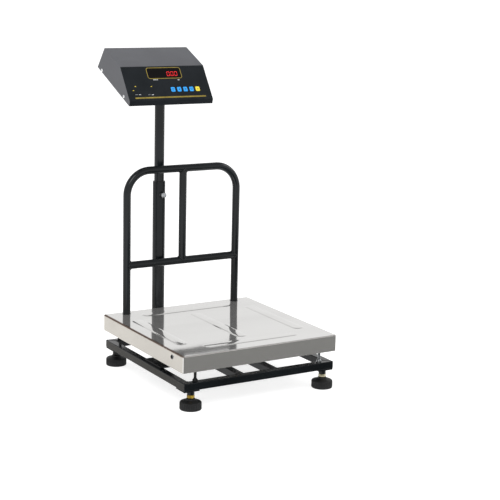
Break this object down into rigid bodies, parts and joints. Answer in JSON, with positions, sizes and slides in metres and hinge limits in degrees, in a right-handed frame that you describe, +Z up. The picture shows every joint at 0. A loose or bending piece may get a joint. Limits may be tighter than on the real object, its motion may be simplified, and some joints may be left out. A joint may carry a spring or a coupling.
{
  "type": "animal weighing scale",
  "caption": "Floor platform scale for animals: stainless pan with a guard rail on a levelled steel base, and a tilted digital indicator on a telescopic post.",
  "frame": {"origin": "middle of the whole scale's footprint, on the floor under the feet", "axes": "+X to the right along the front edge, +Y towards the post at the back, +Z up"},
  "size_m": [0.5, 0.681, 0.9377],
  "materials": {
    "frame_powder_coat": "satin black powder coat on steel tube",
    "indicator_powder_coat": "fine textured charcoal powder coat",
    "stainless_sheet": "polished stainless sheet",
    "zinc_plated_steel": "bright zinc plate",
    "yellow_zinc_nut": "yellow passivated zinc plate on steel",
    "cell_aluminium": "milled aluminium alloy",
    "foot_plastic": "matte moulded nylon with a fluted rim",
    "black_plastic": "matte moulded plastic",
    "fascia_film": "printed polyester film, satin gloss",
    "window_acrylic": "dark tinted acrylic with lit red digits behind",
    "key_blue": "satin blue key",
    "key_yellow": "satin yellow key",
    "circuit_board": "green solder mask on glass fibre board"
  },
  "bodies": {
    "base": {"base_rail_rear": "frame_powder_coat", "base_rail_front": "frame_powder_coat", "base_rail_left": "frame_powder_coat", "base_rail_right": "frame_powder_coat", "base_cross_left": "frame_powder_coat", "base_cross_right": "frame_powder_coat", "cell_base_plate": "frame_powder_coat", "foot_mount_front_left": "frame_powder_coat", "foot_mount_front_right": "frame_powder_coat", "foot_mount_rear_left": "frame_powder_coat", "foot_mount_rear_right": "frame_powder_coat", "foot_lock_nut_front_left": "yellow_zinc_nut", "foot_lock_nut_front_right": "yellow_zinc_nut", "foot_lock_nut_rear_left": "yellow_zinc_nut", "foot_lock_nut_rear_right": "yellow_zinc_nut", "stop_screw_front_left": "zinc_plated_steel", "stop_screw_front_right": "zinc_plated_steel", "stop_screw_rear_left": "zinc_plated_steel", "stop_screw_rear_right": "zinc_plated_steel", "load_cell": "cell_aluminium", "cell_lower_spacer": "zinc_plated_steel", "post_bracket": "frame_powder_coat", "post_tube": "frame_powder_coat", "post_collar": "black_plastic"},
    "platform": {"cell_upper_spacer": "zinc_plated_steel", "cell_top_plate": "frame_powder_coat", "pan_frame_rear": "frame_powder_coat", "pan_frame_front": "frame_powder_coat", "pan_frame_left": "frame_powder_coat", "pan_frame_right": "frame_powder_coat", "pan": "stainless_sheet", "guard_hoop": "frame_powder_coat", "guard_cross_tube": "frame_powder_coat", "guard_middle_tube": "frame_powder_coat"},
    "foot_stem_front_left": {"foot_stem_front_left": "zinc_plated_steel"},
    "foot_pad_front_left": {"foot_pad_front_left": "foot_plastic"},
    "foot_stem_front_right": {"foot_stem_front_right": "zinc_plated_steel"},
    "foot_pad_front_right": {"foot_pad_front_right": "foot_plastic"},
    "foot_stem_rear_left": {"foot_stem_rear_left": "zinc_plated_steel"},
    "foot_pad_rear_left": {"foot_pad_rear_left": "foot_plastic"},
    "foot_stem_rear_right": {"foot_stem_rear_right": "zinc_plated_steel"},
    "foot_pad_rear_right": {"foot_pad_rear_right": "foot_plastic"},
    "lock_screw_shank": {"lock_screw_shank": "zinc_plated_steel"},
    "lock_screw_head": {"lock_screw_head": "zinc_plated_steel"},
    "mast_bush": {"mast_bush": "black_plastic"},
    "head": {"mast_tube": "frame_powder_coat", "head_plate": "frame_powder_coat", "housing_cover": "indicator_powder_coat", "housing_tray": "indicator_powder_coat", "battery": "black_plastic", "fascia": "fascia_film", "display_window": "window_acrylic", "circuit_board": "circuit_board", "charger_socket": "black_plastic"},
    "key_1": {"key_1": "key_blue"},
    "key_2": {"key_2": "key_blue"},
    "key_3": {"key_3": "key_blue"},
    "key_4": {"key_4": "key_blue"},
    "key_5": {"key_5": "key_yellow"},
    "power_rocker": {"power_rocker": "black_plastic"}
  },
  "joints": [
    {"name": "platform_press", "type": "slide", "parent": "base", "child": "platform", "axis": [0, 0, 1], "range_m": [-0.0006, 0], "stiffness_N_per_m": 2500000, "springref_m": 0.00006, "deforming": ["load_cell"]},
    {"name": "foot_rise_front_left", "type": "slide", "parent": "base", "child": "foot_stem_front_left", "axis": [0, 0, 1], "range_m": [-0.012, 0.001]},
    {"name": "foot_turn_front_left", "type": "hinge", "parent": "foot_stem_front_left", "child": "foot_pad_front_left", "pos_m": [-0.216, -0.30995, 0], "axis": [0, 0, 1], "range_deg": [-2468, 205]},
    {"name": "foot_rise_front_right", "type": "slide", "parent": "base", "child": "foot_stem_front_right", "axis": [0, 0, 1], "range_m": [-0.012, 0.001]},
    {"name": "foot_turn_front_right", "type": "hinge", "parent": "foot_stem_front_right", "child": "foot_pad_front_right", "pos_m": [0.216, -0.30995, 0], "axis": [0, 0, 1], "range_deg": [-2468, 205]},
    {"name": "foot_rise_rear_left", "type": "slide", "parent": "base", "child": "foot_stem_rear_left", "axis": [0, 0, 1], "range_m": [-0.012, 0.001]},
    {"name": "foot_turn_rear_left", "type": "hinge", "parent": "foot_stem_rear_left", "child": "foot_pad_rear_left", "pos_m": [-0.216, 0.15806, 0], "axis": [0, 0, 1], "range_deg": [-2468, 205]},
    {"name": "foot_rise_rear_right", "type": "slide", "parent": "base", "child": "foot_stem_rear_right", "axis": [0, 0, 1], "range_m": [-0.012, 0.001]},
    {"name": "foot_turn_rear_right", "type": "hinge", "parent": "foot_stem_rear_right", "child": "foot_pad_rear_right", "pos_m": [0.216, 0.15806, 0], "axis": [0, 0, 1], "range_deg": [-2468, 205]},
    {"name": "lock_travel", "type": "slide", "parent": "base", "child": "lock_screw_shank", "axis": [0, -1, 0], "range_m": [0, 0.005]},
    {"name": "lock_turn", "type": "hinge", "parent": "lock_screw_shank", "child": "lock_screw_head", "pos_m": [-0.055, 0.19906, 0.505], "axis": [0, -1, 0], "range_deg": [0, 1439]},
    {"name": "post_height", "type": "slide", "parent": "base", "child": "mast_bush", "axis": [0, 0, 1], "range_m": [-0.15, 0.12]},
    {"name": "head_swivel", "type": "hinge", "parent": "mast_bush", "child": "head", "pos_m": [-0.055, 0.19906, 0.4], "axis": [0, 0, 1], "range_deg": [-90, 90]},
    {"name": "key_1_press", "type": "slide", "parent": "head", "child": "key_1", "axis": [0, 0.8249, -0.5653], "range_m": [0, 0.0006], "stiffness_N_per_m": 3000, "springref_m": -0.0002},
    {"name": "key_2_press", "type": "slide", "parent": "head", "child": "key_2", "axis": [0, 0.8249, -0.5653], "range_m": [0, 0.0006], "stiffness_N_per_m": 3000, "springref_m": -0.0002},
    {"name": "key_3_press", "type": "slide", "parent": "head", "child": "key_3", "axis": [0, 0.8249, -0.5653], "range_m": [0, 0.0006], "stiffness_N_per_m": 3000, "springref_m": -0.0002},
    {"name": "key_4_press", "type": "slide", "parent": "head", "child": "key_4", "axis": [0, 0.8249, -0.5653], "range_m": [0, 0.0006], "stiffness_N_per_m": 3000, "springref_m": -0.0002},
    {"name": "key_5_press", "type": "slide", "parent": "head", "child": "key_5", "axis": [0, 0.8249, -0.5653], "range_m": [0, 0.0006], "stiffness_N_per_m": 3000, "springref_m": -0.0002},
    {"name": "power_rocker_tilt", "type": "hinge", "parent": "head", "child": "power_rocker", "pos_m": [-0.13, 0.32157, 0.90153], "axis": [-1, 0, 0], "range_deg": [0, 18]}
  ]
}
